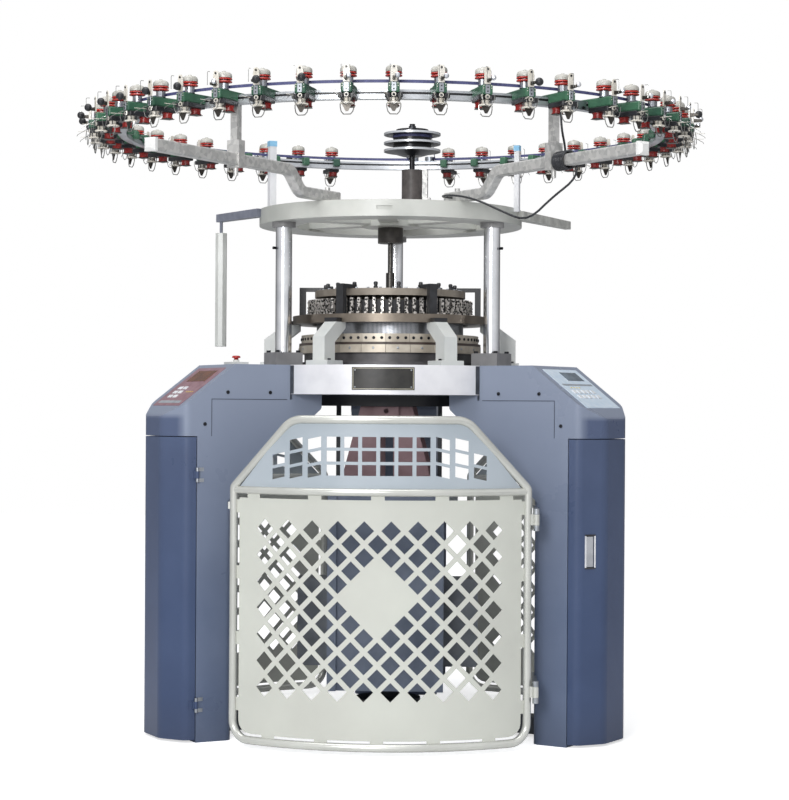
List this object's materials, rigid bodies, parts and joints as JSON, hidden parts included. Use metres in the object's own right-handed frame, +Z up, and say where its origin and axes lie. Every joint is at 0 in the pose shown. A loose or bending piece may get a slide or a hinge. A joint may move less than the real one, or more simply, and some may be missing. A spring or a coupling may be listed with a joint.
{
  "type": "circular knitting machine",
  "caption": "Circular knitting machine on three legs with curved perforated gates, a needle cylinder and dial between columns, and an overhead ring of yarn feeders on goose-neck arms.",
  "frame": {"origin": "machine axis at floor level, centre of the rest face under the floor frame hub", "axes": "+Z up along the cylinder axis, -Y towards the front gate, +X to the right seen from the front"},
  "size_m": [2.2924, 2.728, 2.245],
  "materials": {
    "machine_paint": "semi-gloss",
    "label_film": "satin",
    "pale_plastic": "satin",
    "red_plastic": "gloss",
    "zinc_steel": "satin",
    "bed_iron": "machined",
    "white_fascia": "gloss",
    "dark_plate": "satin",
    "cam_steel": "satin",
    "pale_blue_paint": "satin",
    "black_oxide": "matt",
    "chrome_steel": "polished",
    "belt_fabric": "matt",
    "green_plastic": "gloss",
    "black_plastic": "satin",
    "guide_ceramic": "satin",
    "housing_paint": "satin",
    "gate_tube_paint": "gloss",
    "gate_sheet_paint": "satin",
    "primer_red": "matt",
    "cage_steel": "satin",
    "roller_steel": "knurled",
    "cable_sheath": "matt"
  },
  "bodies": {
    "frame": {"base_frame": "bed_iron", "legs": "machine_paint", "leg_equipment": "zinc_steel", "top_covers": "machine_paint", "label_panels": "label_film", "estop_base": "pale_plastic", "door_hinges": "zinc_steel", "bed_ring": "bed_iron", "bed_fascias": "white_fascia", "nameplate": "dark_plate", "cam_ring": "cam_steel", "cam_boxes": "cam_steel", "yokes": "pale_blue_paint", "guide_ring": "cam_steel", "bracket_posts": "black_oxide", "yarn_guides": "cam_steel", "dial_cam_plate": "cam_steel", "columns": "chrome_steel", "crown_ring": "bed_iron", "lamp_arms": "white_fascia", "lamp_bar": "white_fascia", "capped_posts": "white_fascia", "ring_arms": "zinc_steel", "ring_posts": "zinc_steel", "feeder_ring": "chrome_steel", "ring_joint_plates": "black_oxide", "feeder_belt": "belt_fabric", "feeder_housings": "green_plastic", "feeder_bases": "black_plastic", "feeder_drums": "red_plastic", "feeder_wheels": "red_plastic", "feeder_caps": "pale_plastic", "feeder_brackets": "pale_plastic", "feeder_guides": "guide_ceramic", "pulley_housing": "housing_paint", "gate_hinges": "zinc_steel", "feeder_cable": "cable_sheath", "feeder_cable_coil": "cable_sheath"},
    "cylinder": {"needle_cylinder": "cam_steel", "take_down_hangers": "primer_red", "take_down_cage": "cage_steel", "take_down_gearboxes": "machine_paint"},
    "dial": {"needle_dial": "cam_steel"},
    "draw_roller_front": {"draw_roller_front": "roller_steel"},
    "draw_roller_back": {"draw_roller_back": "roller_steel"},
    "cloth_roller": {"cloth_roller": "roller_steel"},
    "pulleys": {"quality_pulleys": "black_oxide"},
    "gate_front": {"gate_frame_front": "gate_tube_paint", "gate_panels_front": "gate_sheet_paint"},
    "gate_right": {"gate_frame_right": "gate_tube_paint", "gate_panels_right": "gate_sheet_paint"},
    "gate_left": {"gate_frame_left": "gate_tube_paint", "gate_panels_left": "gate_sheet_paint"},
    "door_left": {"leg_door_left": "machine_paint"},
    "door_right": {"leg_door_right": "machine_paint"},
    "door_back": {"leg_door_back": "machine_paint"},
    "handle_left": {"door_handle_left": "chrome_steel"},
    "handle_right": {"door_handle_right": "chrome_steel"},
    "handle_back": {"door_handle_back": "chrome_steel"},
    "estop_button": {"estop_button": "red_plastic"}
  },
  "joints": [
    {"name": "cylinder_spin", "type": "hinge", "parent": "frame", "child": "cylinder", "pos_m": [0, 0, 1.25], "axis": [0, 0, 1], "continuous": true},
    {"name": "dial_spin", "type": "hinge", "parent": "frame", "child": "dial", "pos_m": [0, 0, 1.6], "axis": [0, 0, 1], "continuous": true},
    {"name": "pulley_spin", "type": "hinge", "parent": "frame", "child": "pulleys", "pos_m": [0.06666, 0.32473, 2.15], "axis": [0, 0, 1], "continuous": true},
    {"name": "draw_roller_front_spin", "type": "hinge", "parent": "cylinder", "child": "draw_roller_front", "pos_m": [0, 0.035, 0.56], "axis": [1, 0, 0], "continuous": true},
    {"name": "draw_roller_back_spin", "type": "hinge", "parent": "cylinder", "child": "draw_roller_back", "pos_m": [0, -0.035, 0.56], "axis": [1, 0, 0], "continuous": true},
    {"name": "cloth_roller_spin", "type": "hinge", "parent": "cylinder", "child": "cloth_roller", "pos_m": [0, 0, 0.3], "axis": [1, 0, 0], "continuous": true},
    {"name": "gate_front_hinge", "type": "hinge", "parent": "frame", "child": "gate_front", "pos_m": [0.527, -0.644, 0.5], "axis": [0, 0, 1], "range_deg": [0, 105]},
    {"name": "gate_right_hinge", "type": "hinge", "parent": "frame", "child": "gate_right", "pos_m": [0.29422, 0.77839, 0.5], "axis": [0, 0, 1], "range_deg": [0, 105]},
    {"name": "gate_left_hinge", "type": "hinge", "parent": "frame", "child": "gate_left", "pos_m": [-0.82122, -0.1344, 0.5], "axis": [0, 0, 1], "range_deg": [0, 105]},
    {"name": "door_left_hinge", "type": "hinge", "parent": "frame", "child": "door_left", "pos_m": [-0.63237, -0.56371, 0.5], "axis": [0, 0, 1], "range_deg": [0, 110]},
    {"name": "handle_left_pivot", "type": "hinge", "parent": "door_left", "child": "handle_left", "pos_m": [-0.8313, -0.34691, 0.668], "axis": [0, 0, 1], "range_deg": [0, 40]},
    {"name": "door_right_hinge", "type": "hinge", "parent": "frame", "child": "door_right", "pos_m": [0.80437, -0.26579, 0.5], "axis": [0, 0, 1], "range_deg": [0, 110]},
    {"name": "handle_right_pivot", "type": "hinge", "parent": "door_right", "child": "handle_right", "pos_m": [0.71608, -0.54647, 0.668], "axis": [0, 0, 1], "range_deg": [0, 40]},
    {"name": "door_back_hinge", "type": "hinge", "parent": "frame", "child": "door_back", "pos_m": [-0.172, 0.8295, 0.5], "axis": [0, 0, 1], "range_deg": [0, 110]},
    {"name": "handle_back_pivot", "type": "hinge", "parent": "door_back", "child": "handle_back", "pos_m": [0.11522, 0.89338, 0.668], "axis": [0, 0, 1], "range_deg": [0, 40]},
    {"name": "estop_press", "type": "slide", "parent": "frame", "child": "estop_button", "axis": [0, 0, -1], "range_m": [0, 0.0055], "stiffness_N_per_m": 900, "springref_m": -0.003}
  ],
  "couplings": [
    {"joint": "dial_spin", "follows": "cylinder_spin", "ratio": 1},
    {"joint": "pulley_spin", "follows": "cylinder_spin", "ratio": 4},
    {"joint": "draw_roller_front_spin", "follows": "cylinder_spin", "ratio": 0.25},
    {"joint": "draw_roller_back_spin", "follows": "cylinder_spin", "ratio": -0.25},
    {"joint": "cloth_roller_spin", "follows": "cylinder_spin", "ratio": 0.2}
  ]
}
